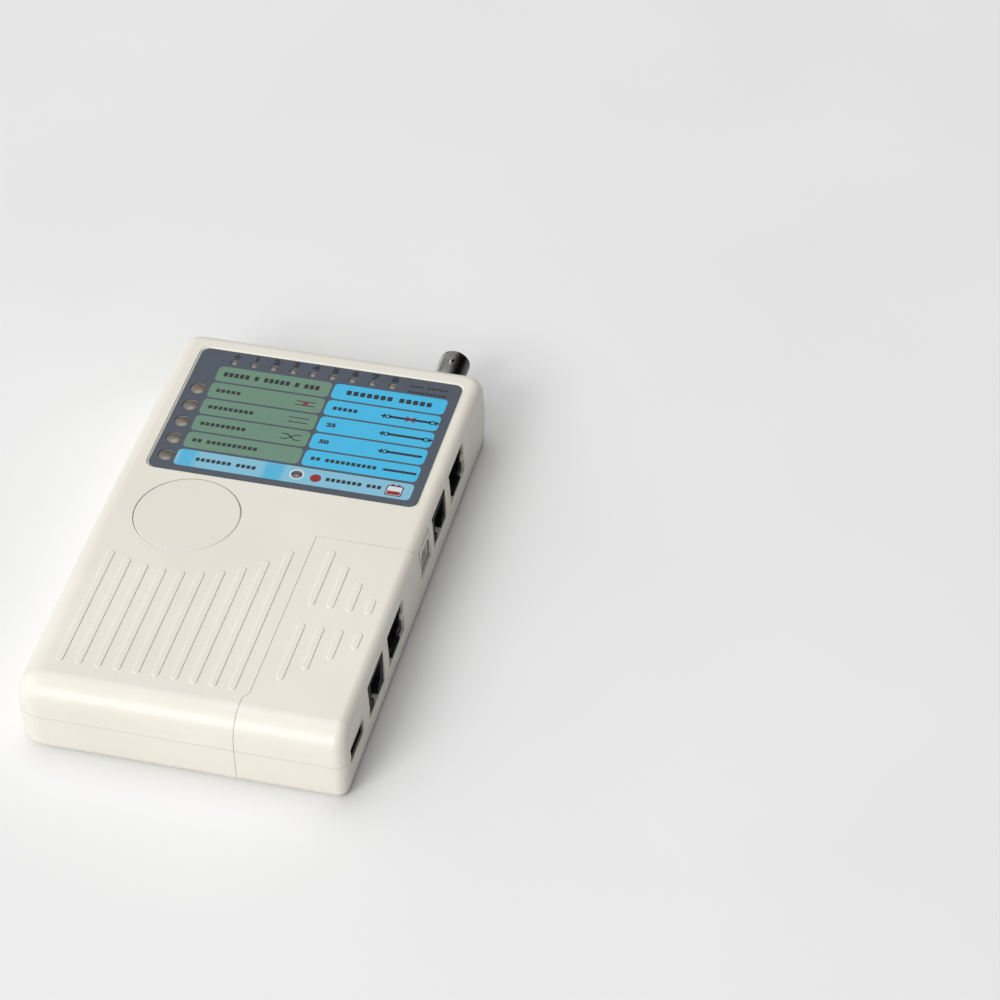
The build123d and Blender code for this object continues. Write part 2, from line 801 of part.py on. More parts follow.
def usb_b_core():
    """Plastic body and tongue of the type B socket."""
    y0, y1, z0, z1, y = socket_place(usb_b_main, main_board_top)
    inset = usb_t + usb_pin_t
    z = usb_b_middle()
    x0, x1 = usb_front_x - usb_b_depth + inset, usb_front_x - inset
    body = block(x0, x1, y0 + inset, y1 - inset, z0 + socket_play + inset, z1 - inset)
    mouth = extrude(Plane.YZ.offset(x0 + usb_b_back_t) * Pos(y, z) * usb_b_mouth(0), amount=far)
    back, front = usb_b_tongue_x
    w, h = usb_b_tongue[0] / 2, usb_b_tongue[1] / 2
    tongue = block(usb_front_x - back, usb_front_x - front, y - w, y + w, z - h, z + h)
    return body - mouth + tongue


def contact_strips(reach, y, offsets, width, heights):
    """Flat contact strips on a tongue; reach holds how far behind the mouth they start and end."""
    x0, x1 = usb_front_x - reach[0], usb_front_x - reach[1]
    strip = block(x0, x1, y - width / 2, y + width / 2, 0, usb_pin_t)
    return Compound([Pos(0, offset, z) * strip for offset in offsets for z in heights])


def usb_b_contacts():
    """Four contact strips, two above and two below the type B tongue."""
    y = (usb_b_main[0] + usb_b_main[1]) / 2
    half = usb_b_tongue[1] / 2
    heights = (usb_b_middle() - half - usb_pin_t, usb_b_middle() + half)
    return contact_strips(usb_b_pin_reach, y, usb_b_pins, usb_b_pin_w, heights)


def usb_a_shell():
    """Flat metal shell of the type A socket, with a turned-out lip above and below, on two feet."""
    y, z = usb_a_centre
    x0, x1 = usb_front_x - usb_a_depth, usb_front_x
    w, h, t = usb_a_slot_w / 2, usb_a_slot_h / 2, usb_a_t
    shell = block(x0, x1, y - w - t, y + w + t, z - h - t, z + h + t)
    lip = block(x1 - usb_a_lip_t, x1, y - w - t, y + w + t, z - h - t - usb_a_lip, z + h + t + usb_a_lip)
    shell = fillet(shell.edges().filter_by(Axis.X), usb_a_corner_r)
    shell = shell + fillet(lip.edges().filter_by(Axis.X), usb_a_lip_r)
    room = block(x0 + t, far, y - w, y + w, z - h, z + h)
    shell = shell - fillet(room.edges().filter_by(Axis.X), usb_a_corner_r - t)
    foot_x0, foot_x1 = x0 + usb_a_foot[0], x0 + usb_a_foot[1]
    foot = block(foot_x0, foot_x1, 0, t, remote_board_top + snug, z - h)
    return shell + Pos(0, y - w - t, 0) * foot + Pos(0, y + w, 0) * foot


def usb_a_tongue():
    """Plastic back wall and tongue of the type A socket."""
    y, z = usb_a_centre
    w, h = usb_a_slot_w / 2 - snug, usb_a_slot_h / 2 - snug
    back_x0, back_x1 = usb_front_x - usb_a_back[0], usb_front_x - usb_a_back[1]
    back = block(back_x0, back_x1, y - w, y + w, z - h, z + h)
    back = fillet(back.edges().filter_by(Axis.X), usb_a_corner_r - usb_a_t)
    side = w - usb_a_tongue_play
    front = usb_front_x - usb_a_tongue_set_back
    tongue = block(back_x1 - root, front, y - side, y + side, z + usb_a_tongue_z[0], z + usb_a_tongue_z[1])
    return back + tongue


def usb_a_contacts():
    """Four contact strips on the underside of the type A tongue."""
    y, z = usb_a_centre
    return contact_strips(usb_a_pin_reach, y, usb_a_pins, usb_a_pin_w, [z + usb_a_tongue_z[0] - usb_pin_t])


# ================================================================ coaxial connector
def bnc_rod(y0, y1, r):
    """Cylinder on the coaxial connector's axis."""
    return rod_y(bnc_x, bnc_z, y0, y1, r)


def bnc_body():
    """Bulkhead coaxial jack: flange inside the wall, barrel outside with two bayonet lugs."""
    barrel = bnc_rod(bnc_wall_in - root, bnc_end_y, bnc_r)
    barrel = chamfer(barrel.edges().group_by(Axis.Y)[-1], bnc_nose_bevel)
    flange = bnc_rod(bnc_wall_in - bnc_flange_t, bnc_wall_in - snug, bnc_flange_r)
    rear = bnc_rod(bnc_wall_in - bnc_rear_l, bnc_wall_in - bnc_flange_t + root, bnc_r + root)
    low, high = bnc_bore_r + cavity_play, bnc_lug_reach
    lugs = [post(bnc_x, bnc_lug_y, bnc_z + low, bnc_z + high, bnc_lug_r),
            post(bnc_x, bnc_lug_y, bnc_z - high, bnc_z - low, bnc_lug_r)]
    bore = bnc_rod(bnc_bore_floor_y, bnc_end_y + 1, bnc_bore_r)
    return barrel + flange + rear + union(lugs) - bore - bnc_rod(0, bnc_end_y, bnc_insulator_r + snug)


def bnc_ring():
    """Slotted ring nut against the outside of the far wall."""
    y0 = case_l / 2 + snug
    ring = bnc_rod(y0, y0 + bnc_ring_t, bnc_ring_r) - bnc_rod(y0 - 1, y0 + past, bnc_r + snug)
    notch = block(bnc_r + bnc_nose_bevel, far, y0 + bnc_ring_t / 2, y0 + past, -bnc_slot_half, bnc_slot_half)
    turns = [360 * (k + 0.5) / bnc_ring_slots for k in range(bnc_ring_slots)]
    return ring - union(Pos(bnc_x, 0, bnc_z) * Rot(0, turn, 0) * notch for turn in turns)


def bnc_insulator():
    """White insulator that carries the centre contact."""
    return bnc_rod(*bnc_insulator_y, bnc_insulator_r) - bnc_rod(0, bnc_end_y, bnc_contact_r + snug)


def bnc_contact():
    """Gold-plated centre contact with its socket in front and solder pin behind."""
    y0, y1 = bnc_contact_y
    return bnc_rod(y0, y1, bnc_contact_r) - bnc_rod(y1 - bnc_contact_bore_l, y1 + 1, bnc_contact_bore_r)


def bent_wire(points, bend_r, wire_r):
    """Round wire along straight runs joined by arcs."""
    path = FilletPolyline(*points, radius=bend_r)
    return sweep(Plane(path @ 0, z_dir=path % 0) * Circle(wire_r), path=path)


def bnc_lead():
    """Solid lead from the centre contact down to the board."""
    y0 = bnc_contact_y[0]
    points = (bnc_x, y0, bnc_z), (bnc_x, bnc_lead_y, bnc_z), (bnc_x, bnc_lead_y, main_board_top)
    return bent_wire(points, bnc_lead_bend_r, bnc_lead_r)


# ================================================================ battery
def battery():
    """Nine-volt block battery with rounded edges, lying on its broad side."""
    can = block(*battery_x, *battery_y, *battery_z)
    return fillet(can.edges().filter_by(Axis.X), battery_edge_r)


def battery_axis(side):
    """Middle height and the y of one terminal, side being -1 or 1."""
    return sum(battery_y) / 2 + side * terminal_half_pitch, sum(battery_z) / 2


def battery_terminals():
    """Stud and socket terminals on the battery's end."""
    x = battery_x[1] + terminal_l / 2
    stud = rod_x(x, *battery_axis(-1), terminal_l, stud_r)
    cup = rod_x(x, *battery_axis(1), terminal_l, cup_r)
    bore = rod_x(x + terminal_l / 2, *battery_axis(1), terminal_l, cup_bore_r)
    return Compound([stud, cup - bore])


def battery_snap():
    """Moulded snap connector pressed against the studs."""
    x0 = battery_x[1] + terminal_l + socket_play
    y, z = sum(battery_y) / 2, sum(battery_z) / 2
    half_y, half_z = snap_half
    cap = block(x0, x0 + snap_t, y - half_y, y + half_y, z - half_z, z + half_z)
    return fillet(cap.edges().filter_by(Axis.X), snap_corner_r)


def battery_leads():
    """Two insulated leads from the snap connector up over the bay wall to the board."""
    x_middle = battery_x[1] + terminal_l + socket_play + snap_t / 2
    y_snap = sum(battery_y) / 2 + snap_half[0]
    leads = []
    for side in (-1, 1):
        x = x_middle + side * battery_lead_half_pitch
        points = (x, y_snap, lead_z), (x, lead_land_y, lead_z), (x, lead_land_y, main_board_top)
        leads.append(bent_wire(points, battery_lead_bend_r, battery_lead_r))
    return Compound(leads)


def battery_foam():
    """Foam pad between the battery and the upper shell."""
    return block(*foam_x, *foam_y, battery_z[1] + snug, case_h - wall - snug)


# ================================================================ remote unit
def remote_column():
    """Column that the remote unit fills, inside the gap to the dock."""
    return dock_prism(-seam_gap / 2, -seam_gap / 2)


def remote_room(room):
    """Room inside the remote unit."""
    return room & dock_prism(-seam_gap / 2 - remote_wall, -seam_gap / 2 - remote_wall)


def remote_openings(shell):
    """Remote shell with its three socket openings cut."""
    slot = fillet(opening(usb_a_remote).edges().filter_by(Axis.X), usb_a_opening_r)
    return shell - opening(rj45_remote) - opening(rj11_remote) - slot


def remote_top_cover(upper, room):
    """Remote unit's upper shell."""
    column = remote_column()
    towers = union(screw_tower(x, y) for x, y in remote_screw_at) & column & (upper + slab(0, part_z))
    shell = (upper & column) - remote_room(room) + towers + remote_ribs()
    shell = shell + (rail(0) & slab(part_z, case_h)) - reveal()
    return remote_openings(shell) + locating_lug(rj45_remote)


def remote_bottom_case(lower, room):
    """Remote unit's lower shell."""
    body = lower & remote_column()
    seats = union(screw_seat(x, y) for x, y in remote_screw_at) & body
    shell = body - remote_room(room) + seats + (rail(0) & slab(0, part_z))
    return remote_openings(shell) - union(screw_seat_hole(x, y) for x, y in remote_screw_at)


# ================================================================ fasteners
def cross_slot(x, y, z0, z1, half_l, half_w):
    """Crossed driver slot from z0 to z1."""
    arm = block(-half_l, half_l, -half_w, half_w, z0, z1)
    return Pos(x, y, 0) * (arm + Rot(0, 0, 90) * arm)


def case_screw(x, y):
    """Pan-head case screw driven up from the back."""
    z0, z1 = screw_head_z
    head = post(x, y, z0, z1, screw_head_r)
    head = fillet(head.edges().group_by(Axis.Z)[0], screw_head_edge_r)
    shank = post(x, y, z1 - root, screw_tip_z, screw_r)
    return head + shank - cross_slot(x, y, 0, z0 + screw_slot_depth, *screw_slot)


def board_screw(x, y):
    """Small screw that holds the main board to a pillar."""
    z1 = main_board_top + board_screw_head_h
    head = post(x, y, main_board_top, z1, board_screw_head_r)
    head = fillet(head.edges().group_by(Axis.Z)[-1], board_screw_head_edge_r)
    shank = post(x, y, board_screw_z[1], main_board_top + root, board_screw_r)
    return head + shank - cross_slot(x, y, z1 - board_screw_slot_depth, case_h, *board_screw_slot)


# ================================================================ all the pieces
def build():
    """Every sub-part by its node name."""
    upper, lower, room = upper_block(), lower_block(), cavity_block()
    pins, states, battery_state = lamp_places()
    return {
        "top_cover": top_cover(upper, room),
        "bottom_case": bottom_case(lower, room),
        "battery_door": battery_door(),
        "label_overlay": label_overlay(),
        "pin_lamps": Compound([lamp(*place) for place in pins]),
        "status_lamps": Compound([lamp(*place) for place in states]),
        "battery_lamp": lamp(*battery_state[0]),
        "button_cap": button_cap(),
        "button_spring": button_spring(),
        "switch_body": switch_body(),
        "switch_plunger": switch_plunger(),
        "main_board": main_board(),
        "controller_chip": chip(*controller_at, main_board_top, controller_l),
        "driver_chip": chip(*driver_at, main_board_top, driver_l),
        "main_resistors": resistor_row(main_resistor_row, main_board_top),
        "rj45_socket": rj_body(rj45_main, rj45_recess_x, rj45_slot_w, main_board_top, True),
        "rj45_contacts": rj_contacts(rj45_main, rj45_recess_x, 8),
        "rj11_socket": rj_body(rj11_main, rj11_front_x, rj11_slot_w, main_board_top, False),
        "rj11_contacts": rj_contacts(rj11_main, rj11_front_x, 6),
        "usb_b_shell": usb_b_shell(),
        "usb_b_core": usb_b_core(),
        "usb_b_contacts": usb_b_contacts(),
        "bnc_body": bnc_body(),
        "bnc_ring_nut": bnc_ring(),
        "bnc_insulator": bnc_insulator(),
        "bnc_contact": bnc_contact(),
        "bnc_lead": bnc_lead(),
        "battery_9v": battery(),
        "battery_terminals": battery_terminals(),
        "battery_snap": battery_snap(),
        "battery_leads": battery_leads(),
        "battery_foam": battery_foam(),
        "case_screws": Compound([case_screw(x, y) for x, y in case_screw_at]),
        "board_screws": Compound([board_screw(x, y) for x, y in board_screw_at]),
        "remote_top_cover": remote_top_cover(upper, room),
        "remote_bottom_case": remote_bottom_case(lower, room),
        "remote_board": remote_board(),
        "remote_resistors": resistor_row(remote_resistor_row, remote_board_top),
        "remote_rj45_socket": rj_body(rj45_remote, rj45_recess_x, rj45_slot_w, remote_board_top, True),
        "remote_rj45_contacts": rj_contacts(rj45_remote, rj45_recess_x, 8),
        "remote_rj11_socket": rj_body(rj11_remote, rj11_front_x, rj11_slot_w, remote_board_top, False),
        "remote_rj11_contacts": rj_contacts(rj11_remote, rj11_front_x, 6),
        "remote_usb_shell": usb_a_shell(),
        "remote_usb_tongue": usb_a_tongue(),
        "remote_usb_contacts": usb_a_contacts(),
        "remote_screws": Compound([case_screw(x, y) for x, y in remote_screw_at]),
    }


def main():
    """Write one STEP file per sub-part."""
    os.makedirs("parts", exist_ok=True)
    for name, shape in build().items():
        export_step(shape, f"parts/{name}.step")
        print(name, round(shape.volume, 1))


main()
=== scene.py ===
"""Looks of the network cable tester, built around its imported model. Metres, in the model's own frame."""
import math

import bpy
from mathutils import Matrix, Vector


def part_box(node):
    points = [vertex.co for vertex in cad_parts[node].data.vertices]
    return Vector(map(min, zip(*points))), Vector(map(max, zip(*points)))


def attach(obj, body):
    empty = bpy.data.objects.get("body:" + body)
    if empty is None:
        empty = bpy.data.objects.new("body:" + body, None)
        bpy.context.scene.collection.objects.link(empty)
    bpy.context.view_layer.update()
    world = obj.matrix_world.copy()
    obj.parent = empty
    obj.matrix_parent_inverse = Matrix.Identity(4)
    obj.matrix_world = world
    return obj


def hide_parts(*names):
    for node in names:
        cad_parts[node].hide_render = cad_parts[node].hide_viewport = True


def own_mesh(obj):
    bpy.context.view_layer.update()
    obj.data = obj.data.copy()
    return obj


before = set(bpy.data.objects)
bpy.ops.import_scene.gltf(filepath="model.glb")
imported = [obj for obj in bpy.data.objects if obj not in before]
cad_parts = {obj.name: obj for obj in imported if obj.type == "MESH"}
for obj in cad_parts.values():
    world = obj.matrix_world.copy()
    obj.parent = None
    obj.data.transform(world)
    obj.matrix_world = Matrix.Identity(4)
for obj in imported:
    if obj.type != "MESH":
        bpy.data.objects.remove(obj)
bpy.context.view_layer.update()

MM = 0.001

# ------------------------------------------------------------ camera and light
AIM = Vector((62.8, 38.2, 12.0)) * MM
CAMERA_AZIMUTH = math.radians(14.54)
CAMERA_ELEVATION = math.radians(41.70)
CAMERA_ROLL = math.radians(-0.91)
CAMERA_DISTANCE = 1.0209
CAMERA_LENS = 122.74
CAMERA_SENSOR = 36.0
CAMERA_CLIP = (0.01, 20.0)
FLOOR_SIZE = 6.0
FLOOR_SHADES = ((0.83, 0.83, 0.83), (0.85, 0.85, 0.85))
SKY_AXIS = (-0.55, -0.30, 0.78)
SKY_SPAN = (0.1, 0.95)
SKY_DARK = 0.01
SKY_BRIGHT = 1.1
LIGHT_AIM = Vector((0, 0, 0.01))
KEY_PLACE = (-0.55, -1.35, 0.95)
KEY_SIZE = 0.7
KEY_WATTS = 12.5
TOP_PLACE = (-0.2, 0.5, 1.6)
TOP_SIZE = 0.9
TOP_WATTS = 5.5

# ------------------------------------------------------------ linear colours; noise blends the two of a pair
IVORY = ((0.82, 0.79, 0.705), (0.785, 0.755, 0.665))
BUTTON_IVORY = ((0.80, 0.77, 0.69), (0.775, 0.745, 0.665))
SOCKET_BLACK = ((0.014, 0.014, 0.016), (0.008, 0.008, 0.009))
MILKY_WHITE = ((0.82, 0.82, 0.79), (0.74, 0.74, 0.70))
LABEL_SLATE = ((0.072, 0.090, 0.121), (0.063, 0.080, 0.107))
LABEL_GREEN = ((0.148, 0.270, 0.192), (0.132, 0.245, 0.172))
LABEL_BLUE = ((0.05, 0.50, 0.80), (0.045, 0.46, 0.75))
INK_BLACK = ((0.012, 0.014, 0.016), (0.02, 0.022, 0.025))
INK_RED = ((0.295, 0.012, 0.011), (0.25, 0.010, 0.009))
INK_WHITE = ((0.72, 0.76, 0.78), (0.64, 0.69, 0.72))
GOLD = ((0.85, 0.62, 0.25), (0.78, 0.55, 0.21))
NICKEL = ((0.70, 0.68, 0.64), (0.60, 0.58, 0.55))
ZINC = ((0.60, 0.60, 0.61), (0.48, 0.49, 0.50))
TINNED_COPPER = ((0.75, 0.48, 0.33), (0.66, 0.40, 0.26))
JACK_BRIGHT = ((0.66, 0.64, 0.60), (0.42, 0.40, 0.38))
# painted shade: the dark colour the jack plate takes on its faces turned towards +X
JACK_PAINTED_SHADE = (0.035, 0.035, 0.035)
# tin shell: the tin's colour lightened into a painted highlight on the outward rim, then painted shade
# inside the mouth, darkest deepest in
TIN_RIM_HIGHLIGHT = ((0.95, 0.91, 0.85), (0.86, 0.82, 0.76))
TIN_MOUTH_SHADE = (0.46, 0.41, 0.36)
TIN_DEEP_SHADE = (0.02, 0.019, 0.018)
BAR_PALE = (0.22, 0.52, 0.69, 1)
BAR_CYAN = (0.07, 0.45, 0.70, 1)
BAR_GRAIN = (0.22, 0.40, 0.52)
BAR_STOPS = ((0.0, BAR_PALE), (0.025, BAR_CYAN), (0.06, BAR_CYAN), (0.10, BAR_PALE),
             (0.36, BAR_PALE), (0.39, BAR_CYAN), (0.44, BAR_CYAN), (0.47, BAR_PALE))

# ------------------------------------------------------------ three shades of each kind of lamp
STATUS_TINTS = ((0.116, 0.114, 0.083), (0.163, 0.121, 0.095), (0.146, 0.113, 0.098))
PIN_TINTS = ((0.135, 0.130, 0.128), (0.165, 0.130, 0.125), (0.150, 0.125, 0.130))
BATTERY_TINTS = ((0.062, 0.060, 0.065), (0.083, 0.078, 0.083), (0.091, 0.085, 0.091))
LAMP_MOTTLE = (0.27, 0.25, 0.23)

# ------------------------------------------------------------ printed label, mm from its lower left corner
BAR_H = 7.15
BAR_R = 1.5
ROW_COUNT = 5
ROW_PITCH = 7.93
FIRST_ROW_Y = 10.6
GREEN_X = (7.7, 43.9)
BLUE_X = (44.7, 80.4)
BATTERY_BAR = (7.4, 2.3, 80.5, 9.6)
PRINT_T = 0.03
MARK_T = 0.05
RED_MARK_T = MARK_T + 0.01
PRINT_SINK = 0.01
LAMP_WINDOW_R = 1.68
LAMP_RING_W = 0.5

# ------------------------------------------------------------ blocks in place of words
LETTER_H = 1.5
LETTER_PITCH = 1.62
HEADER_LETTER_H = 2.05
GREEN_HEADER_PITCH = 1.72
BLUE_HEADER_PITCH = 2.15
SMALL_LETTER_H = 0.8
SMALL_LETTER_PITCH = 1.35
BLOCK_SHARE = 0.74
BLOCK_CORNER = 0.14
WORD_GAP = 0.75

# ------------------------------------------------------------ numerals and pictograms
PIN_COUNT = 9
PIN_NUMERAL_Y = 55.0
PIN_NUMERAL_H = 3.1
VALUE_NUMERAL_H = 2.3
NUMERAL_STRETCH = 1.3
NUMERAL_SWELL = 0.055
EARTH_STEM_Y = (54.9, 56.1)
EARTH_BARS = ((1.1, 54.9), (0.7, 54.3), (0.3, 53.7))
EARTH_W = 0.34
PAIR_X = (35.4, 41.3)
PAIR_BEND_X = (37.0, 39.7)
PAIR_W = 0.36
CROSSED_PAIR_H = 1.15
CABLE_W = 1.0
CABLES = ((3, 65.2, 77.4, 2), (2, 66.8, 77.4, 2), (1, 68.6, 78.6, 1), (0, 69.9, 79.0, 0))  # row, ends, plugs
PLUG_RING_R = 0.75
PLUG_W = 0.42
BATTERY_CASE = (72.7, 3.4, 77.5, 7.6)
BATTERY_WINDOW = (73.0, 3.7, 77.2, 7.3)
BATTERY_CHARGE = (73.1, 3.8, 77.1, 5.3)
BATTERY_POLES_X = ((73.9, 74.5), (75.7, 76.3))
BATTERY_POLE_Y = 8.0
RED_DOT_X = 50.9
RED_DOT_DROP = 0.25
RED_DOT_R = 1.7


# ============================================================ materials
class Finish:
    """A Principled material with procedural layers over the object's own coordinates."""

    def __init__(self, name, **sockets):
        self.material = bpy.data.materials.new(name)
        self.material.use_nodes = True
        tree = self.material.node_tree
        self.nodes, self.links = tree.nodes, tree.links
        self.surface = self.nodes["Principled BSDF"]
        for socket, value in sockets.items():
            self.surface.inputs[socket.replace("_", " ")].default_value = value
        self.place = self.nodes.new("ShaderNodeTexCoord").outputs["Object"]

    def add(self, kind, inputs=None, **settings):
        """A new node with its settings and inputs; a linked input is given as an output socket."""
        node = self.nodes.new(kind)
        for key, value in settings.items():
            setattr(node, key, value)
        for key, value in (inputs or {}).items():
            if isinstance(value, bpy.types.NodeSocket):
                self.links.new(value, node.inputs[key])
            else:
                node.inputs[key].default_value = value
        return node

    def noise(self, scale, detail=3.0, stretch=(1, 1, 1)):
        """Noise over the object, its features about 1/scale metres."""
        mapping = self.add("ShaderNodeMapping", {"Vector": self.place, "Scale": stretch})
        inputs = {"Vector": mapping.outputs[0], "Scale": scale, "Detail": detail}
        return self.add("ShaderNodeTexNoise", inputs).outputs[0]

    def spread(self, factor, low, high, start=0.35, end=0.65):
        """A number from low to high as factor goes from start to end."""
        inputs = {"Value": factor, "From Min": start, "From Max": end, "To Min": low, "To Max": high}
        return self.add("ShaderNodeMapRange", inputs).outputs[0]

    def blend(self, factor, first, second):
        """A colour between two colours."""
        node = self.add("ShaderNodeMix", data_type="RGBA")
        self.links.new(factor, node.inputs[0])
        for socket, colour in ((node.inputs[6], first), (node.inputs[7], second)):
            if isinstance(colour, bpy.types.NodeSocket):
                self.links.new(colour, socket)
            else:
                socket.default_value = (*colour, 1)
        return node.outputs[2]

    def colour(self, output):
        """Base colour from a node's output."""
        self.links.new(output, self.surface.inputs["Base Color"])
        return self

    def roughness(self, output):
        """Roughness from a node's output."""
        self.links.new(output, self.surface.inputs["Roughness"])
        return self

    def bump(self, *layers):
        """Bump layers, each (height, strength, depth in millimetres), one over the other."""
        normal = None
        for height, strength, depth in layers:
            inputs = {"Height": height, "Strength": strength, "Distance": depth * MM}
            node = self.add("ShaderNodeBump", inputs)
            if normal is not None:
                self.links.new(normal, node.inputs["Normal"])
            normal = node.outputs[0]
        self.links.new(normal, self.surface.inputs["Normal"])
        return self


def moulded_plastic(name, light, dark, rough, grain, **sockets):
    """Fine-textured moulded plastic with faint flow marks."""
    finish = Finish(name, **sockets)
    cloud = finish.noise(28, 4)
    speck = finish.noise(2600, 2)
    finish.colour(finish.blend(finish.spread(cloud, 0, 1), dark, light))
    finish.roughness(finish.spread(finish.noise(190, 4), rough - 0.05, rough + 0.06))
    return finish.bump((speck, 0.35, grain * 0.5), (finish.noise(420, 3), 0.2, grain))


def ivory_plastic():
    """Warm ivory moulding of the case."""
    return moulded_plastic("ivory_plastic", *IVORY, 0.36, 0.04)


def button_plastic():
    """The same ivory, a little smoother from use."""
    return moulded_plastic("button_plastic", *BUTTON_IVORY, 0.34, 0.03)


def black_plastic():
    """Black thermoplastic of the sockets."""
    return moulded_plastic("black_plastic", *SOCKET_BLACK, 0.58, 0.03, IOR=1.22)


def white_plastic():
    """Milky insulator plastic."""
    return moulded_plastic("white_plastic", *MILKY_WHITE, 0.35, 0.03)


def printed_film(name, light, dark, rough=0.34):
    """Satin printed film with a faint screen-print grain."""
    finish = Finish(name, Coat_Weight=0.25, Coat_Roughness=0.22)
    finish.colour(finish.blend(finish.spread(finish.noise(1500, 3), 0.25, 0.75), dark, light))
    finish.roughness(finish.spread(finish.noise(260, 3), rough - 0.05, rough + 0.05))
    return finish.bump((finish.noise(1700, 2), 0.2, 0.02))


def battery_bar_film(bar_low, bar_high):
    """Pale blue print that turns bright cyan in two soft patches."""
    finish = Finish("battery_bar_film", Coat_Weight=0.25, Coat_Roughness=0.22)
    split = finish.add("ShaderNodeSeparateXYZ", {0: finish.place})
    share = finish.spread(split.outputs[0], 0, 1, bar_low.x, bar_high.x)
    ramp = finish.add("ShaderNodeValToRGB", {0: share})
    ramp.color_ramp.interpolation = "EASE"
    elements = ramp.color_ramp.elements
    while len(elements) < len(BAR_STOPS):
        elements.new(0.5)
    for element, (position, colour) in zip(elements, BAR_STOPS):
        element.position = position
        element.color = colour
    grain = finish.noise(700, 3)
    finish.colour(finish.blend(finish.spread(grain, 0, 0.12), ramp.outputs[0], BAR_GRAIN))
    finish.roughness(finish.spread(grain, 0.30, 0.40))
    return finish


def lamp_resin(name, tints):
    """Tinted resin in three shades that change from lamp to lamp, with a faint mottle."""
    gloss = {"Coat_Weight": 0.6, "Coat_Roughness": 0.12}
    finish = Finish(name, **gloss, Subsurface_Weight=0.25, Subsurface_Scale=0.001)
    patch = finish.noise(75, 0)
    warm = finish.blend(finish.spread(patch, 0, 1, 0.3, 0.5), tints[0], tints[1])
    tint = finish.blend(finish.spread(patch, 0, 1, 0.5, 0.65), warm, tints[2])
    finish.colour(finish.blend(finish.spread(finish.noise(900, 2), 0, 0.35), tint, LAMP_MOTTLE))
    finish.roughness(finish.spread(finish.noise(500, 2), 0.22, 0.34))
    return finish.bump((finish.noise(650, 2), 0.3, 0.05))


def plated_metal(name, light, dark, rough):
    """Plated metal with fine draw marks."""
    finish = Finish(name, Metallic=1.0)
    marks = finish.noise(900)
    finish.colour(finish.blend(finish.spread(finish.noise(260, 4), 0, 1), dark, light))
    finish.roughness(finish.spread(marks, rough - 0.05, rough + 0.07))
    return finish.bump((marks, 0.12, 0.01))


def jack_plate():
    """Bright plate of the coaxial jack, with painted shade darkening it towards the socket side, on the
    faces that turn to +X.
    """
    finish = Finish("jack_plate", Metallic=1.0)
    marks = finish.noise(900, 3, (1, 6, 1))
    finish.roughness(finish.spread(marks, 0.21, 0.33))
    finish.bump((marks, 0.12, 0.01))
    # painted shade: faces that turn towards +X take the dark colour
    facing = finish.add("ShaderNodeSeparateXYZ", {0: finish.add("ShaderNodeTexCoord").outputs["Normal"]})
    share = finish.spread(facing.outputs[0], 0, 1, 0.1, 0.7)
    light, dark = JACK_BRIGHT
    bright = finish.blend(finish.spread(finish.noise(420, 4), 0, 1), dark, light)
    return finish.colour(finish.blend(share, bright, JACK_PAINTED_SHADE))


def tin_plate():
    """Dull tin plate of the flat socket's shell, with a painted highlight making its outward rim pale and
    painted shade darkening it deeper in the mouth.
    """
    finish = Finish("tin_plate", Metallic=0.15)
    facing = finish.add("ShaderNodeSeparateXYZ", {0: finish.add("ShaderNodeTexCoord").outputs["Normal"]})
    # painted highlight: faces that turn outward (+X) take the pale rim colour
    light, dark = TIN_RIM_HIGHLIGHT
    bright = finish.blend(finish.spread(finish.noise(260, 4), 0, 1), dark, light)
    # painted shade: the mouth darkens with depth behind the shell's front face
    split = finish.add("ShaderNodeSeparateXYZ", {0: finish.place})
    _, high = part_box("remote_usb_shell")
    depth = finish.spread(split.outputs[0], 0, 1, high.x - 0.85 * MM, high.x - 0.4 * MM)
    painted_mouth_shade = finish.blend(depth, TIN_DEEP_SHADE, TIN_MOUTH_SHADE)
    finish.colour(finish.blend(finish.spread(facing.outputs[0], 0, 1, 0.5, 0.8), painted_mouth_shade, bright))
    marks = finish.noise(900)
    finish.roughness(finish.spread(marks, 0.34, 0.46))
    return finish.bump((marks, 0.12, 0.01))


def solder_mask():
    """Green board with copper tracks under the mask."""
    finish = Finish("solder_mask", Coat_Weight=0.4, Coat_Roughness=0.2)
    brick = finish.add("ShaderNodeTexBrick", {"Vector": finish.place, "Scale": 180.0, "Mortar Size": 0.06})
    tracks = finish.blend(brick.outputs["Fac"], (0.02, 0.13, 0.05), (0.04, 0.22, 0.09))
    finish.colour(finish.blend(finish.spread(finish.noise(60, 3), 0, 0.5), tracks, (0.01, 0.09, 0.04)))
    finish.roughness(finish.spread(finish.noise(300, 2), 0.3, 0.42))
    return finish.bump((brick.outputs["Fac"], 0.4, 0.05))


def banded_lacquer():
    """Tan resistor lacquer with colour bands along X."""
    finish = Finish("banded_lacquer", Coat_Weight=0.5, Coat_Roughness=0.15)
    inputs = {"Vector": finish.place, "Scale": 160.0, "Distortion": 0.3}
    wave = finish.add("ShaderNodeTexWave", inputs, bands_direction="X")
    share = finish.spread(wave.outputs[0], 0, 1, 0.8, 0.9)
    bands = finish.blend(share, (0.55, 0.40, 0.22), (0.35, 0.05, 0.03))
    finish.colour(finish.blend(finish.spread(finish.noise(800, 2), 0, 0.2), bands, (0.2, 0.12, 0.05)))
    finish.roughness(finish.spread(finish.noise(500, 2), 0.25, 0.4))
    return finish.bump((finish.noise(900, 2), 0.2, 0.03))


